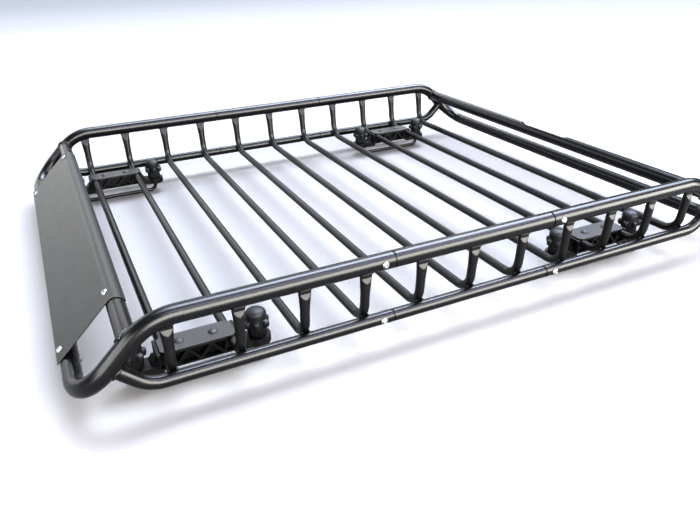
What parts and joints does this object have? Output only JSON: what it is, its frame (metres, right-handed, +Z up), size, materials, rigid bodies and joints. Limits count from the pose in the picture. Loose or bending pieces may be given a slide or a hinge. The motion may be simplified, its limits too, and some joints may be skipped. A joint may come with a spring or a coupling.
{
  "type": "roof cargo basket",
  "caption": "Welded tube roof cargo basket in three bolted sections, with bent floor bars, a sheet wind fairing and U-bolt clamps with hand knobs for cross bars.",
  "frame": {"origin": "centre of the footprint, at the height of the lowest point of the four U-bolts", "axes": "+X to the front of the vehicle, where the fairing is; +Y to the vehicle's left; +Z up"},
  "size_m": [1.1854, 0.946, 0.1562],
  "materials": {
    "painted_tube": "satin",
    "painted_sheet": "satin",
    "painted_plate": "satin",
    "black_hardware": "satin",
    "zinc_hardware": "satin",
    "black_plastic": "matte",
    "knob_plastic": "matte"
  },
  "bodies": {
    "frame": {"front_hoop_tube": "painted_tube", "rear_hoop_tube": "painted_tube", "left_middle_top_rail": "painted_tube", "right_middle_top_rail": "painted_tube", "left_front_bottom_rail": "painted_tube", "right_front_bottom_rail": "painted_tube", "left_middle_bottom_rail": "painted_tube", "right_middle_bottom_rail": "painted_tube", "left_rear_bottom_rail": "painted_tube", "right_rear_bottom_rail": "painted_tube", "front_upper_cross_tube": "painted_tube", "rear_upper_cross_tube": "painted_tube", "floor_bar_01": "painted_tube", "floor_bar_02": "painted_tube", "floor_bar_03": "painted_tube", "floor_bar_04": "painted_tube", "floor_bar_05": "painted_tube", "floor_bar_06": "painted_tube", "floor_bar_07": "painted_tube", "floor_bar_08": "painted_tube", "floor_bar_09": "painted_tube", "floor_bar_10": "painted_tube", "floor_bar_11": "painted_tube", "wind_fairing": "painted_sheet", "fairing_bolts": "zinc_hardware", "fairing_nuts": "zinc_hardware", "section_bolts": "zinc_hardware", "section_nuts": "zinc_hardware"},
    "front_left_clamp": {"front_left_clamp_plate": "painted_plate", "front_left_saddle": "black_plastic", "front_left_plate_bolts": "black_hardware", "front_left_plate_nuts": "zinc_hardware"},
    "front_left_u_bolt": {"front_left_u_bolt": "black_hardware"},
    "front_left_front_knob": {"front_left_front_knob": "knob_plastic"},
    "front_left_rear_knob": {"front_left_rear_knob": "knob_plastic"},
    "front_right_clamp": {"front_right_clamp_plate": "painted_plate", "front_right_saddle": "black_plastic", "front_right_plate_bolts": "black_hardware", "front_right_plate_nuts": "zinc_hardware"},
    "front_right_u_bolt": {"front_right_u_bolt": "black_hardware"},
    "front_right_front_knob": {"front_right_front_knob": "knob_plastic"},
    "front_right_rear_knob": {"front_right_rear_knob": "knob_plastic"},
    "rear_left_clamp": {"rear_left_clamp_plate": "painted_plate", "rear_left_saddle": "black_plastic", "rear_left_plate_bolts": "black_hardware", "rear_left_plate_nuts": "zinc_hardware"},
    "rear_left_u_bolt": {"rear_left_u_bolt": "black_hardware"},
    "rear_left_front_knob": {"rear_left_front_knob": "knob_plastic"},
    "rear_left_rear_knob": {"rear_left_rear_knob": "knob_plastic"},
    "rear_right_clamp": {"rear_right_clamp_plate": "painted_plate", "rear_right_saddle": "black_plastic", "rear_right_plate_bolts": "black_hardware", "rear_right_plate_nuts": "zinc_hardware"},
    "rear_right_u_bolt": {"rear_right_u_bolt": "black_hardware"},
    "rear_right_front_knob": {"rear_right_front_knob": "knob_plastic"},
    "rear_right_rear_knob": {"rear_right_rear_knob": "knob_plastic"}
  },
  "joints": [
    {"name": "front_left_clamp_slide", "type": "slide", "parent": "frame", "child": "front_left_clamp", "axis": [0, -1, 0], "range_m": [-0.005, 0.25]},
    {"name": "front_left_front_knob_turn", "type": "hinge", "parent": "front_left_clamp", "child": "front_left_front_knob", "pos_m": [0.5014, 0.386, 0.059], "axis": [0, 0, 1], "range_deg": [0, 5761]},
    {"name": "front_left_rear_knob_turn", "type": "hinge", "parent": "front_left_clamp", "child": "front_left_rear_knob", "pos_m": [0.3254, 0.386, 0.059], "axis": [0, 0, 1], "range_deg": [0, 5761]},
    {"name": "front_left_u_bolt_slide", "type": "slide", "parent": "front_left_clamp", "child": "front_left_u_bolt", "axis": [0, 0, 1], "range_m": [-0.02, 0]},
    {"name": "front_right_clamp_slide", "type": "slide", "parent": "frame", "child": "front_right_clamp", "axis": [0, 1, 0], "range_m": [-0.005, 0.25]},
    {"name": "front_right_front_knob_turn", "type": "hinge", "parent": "front_right_clamp", "child": "front_right_front_knob", "pos_m": [0.5014, -0.386, 0.059], "axis": [0, 0, 1], "range_deg": [0, 5761]},
    {"name": "front_right_rear_knob_turn", "type": "hinge", "parent": "front_right_clamp", "child": "front_right_rear_knob", "pos_m": [0.3254, -0.386, 0.059], "axis": [0, 0, 1], "range_deg": [0, 5761]},
    {"name": "front_right_u_bolt_slide", "type": "slide", "parent": "front_right_clamp", "child": "front_right_u_bolt", "axis": [0, 0, 1], "range_m": [-0.02, 0]},
    {"name": "rear_left_clamp_slide", "type": "slide", "parent": "frame", "child": "rear_left_clamp", "axis": [0, -1, 0], "range_m": [-0.005, 0.25]},
    {"name": "rear_left_front_knob_turn", "type": "hinge", "parent": "rear_left_clamp", "child": "rear_left_front_knob", "pos_m": [-0.2362, 0.386, 0.059], "axis": [0, 0, 1], "range_deg": [0, 5761]},
    {"name": "rear_left_rear_knob_turn", "type": "hinge", "parent": "rear_left_clamp", "child": "rear_left_rear_knob", "pos_m": [-0.4122, 0.386, 0.059], "axis": [0, 0, 1], "range_deg": [0, 5761]},
    {"name": "rear_left_u_bolt_slide", "type": "slide", "parent": "rear_left_clamp", "child": "rear_left_u_bolt", "axis": [0, 0, 1], "range_m": [-0.02, 0]},
    {"name": "rear_right_clamp_slide", "type": "slide", "parent": "frame", "child": "rear_right_clamp", "axis": [0, 1, 0], "range_m": [-0.005, 0.25]},
    {"name": "rear_right_front_knob_turn", "type": "hinge", "parent": "rear_right_clamp", "child": "rear_right_front_knob", "pos_m": [-0.2362, -0.386, 0.059], "axis": [0, 0, 1], "range_deg": [0, 5761]},
    {"name": "rear_right_rear_knob_turn", "type": "hinge", "parent": "rear_right_clamp", "child": "rear_right_rear_knob", "pos_m": [-0.4122, -0.386, 0.059], "axis": [0, 0, 1], "range_deg": [0, 5761]},
    {"name": "rear_right_u_bolt_slide", "type": "slide", "parent": "rear_right_clamp", "child": "rear_right_u_bolt", "axis": [0, 0, 1], "range_m": [-0.02, 0]}
  ],
  "couplings": [
    {"joint": "front_left_front_knob_turn", "follows": "front_left_u_bolt_slide", "rad_per_m": -5026.5},
    {"joint": "front_left_rear_knob_turn", "follows": "front_left_u_bolt_slide", "rad_per_m": -5026.5},
    {"joint": "front_right_front_knob_turn", "follows": "front_right_u_bolt_slide", "rad_per_m": -5026.5},
    {"joint": "front_right_rear_knob_turn", "follows": "front_right_u_bolt_slide", "rad_per_m": -5026.5},
    {"joint": "rear_left_front_knob_turn", "follows": "rear_left_u_bolt_slide", "rad_per_m": -5026.5},
    {"joint": "rear_left_rear_knob_turn", "follows": "rear_left_u_bolt_slide", "rad_per_m": -5026.5},
    {"joint": "rear_right_front_knob_turn", "follows": "rear_right_u_bolt_slide", "rad_per_m": -5026.5},
    {"joint": "rear_right_rear_knob_turn", "follows": "rear_right_u_bolt_slide", "rad_per_m": -5026.5}
  ]
}
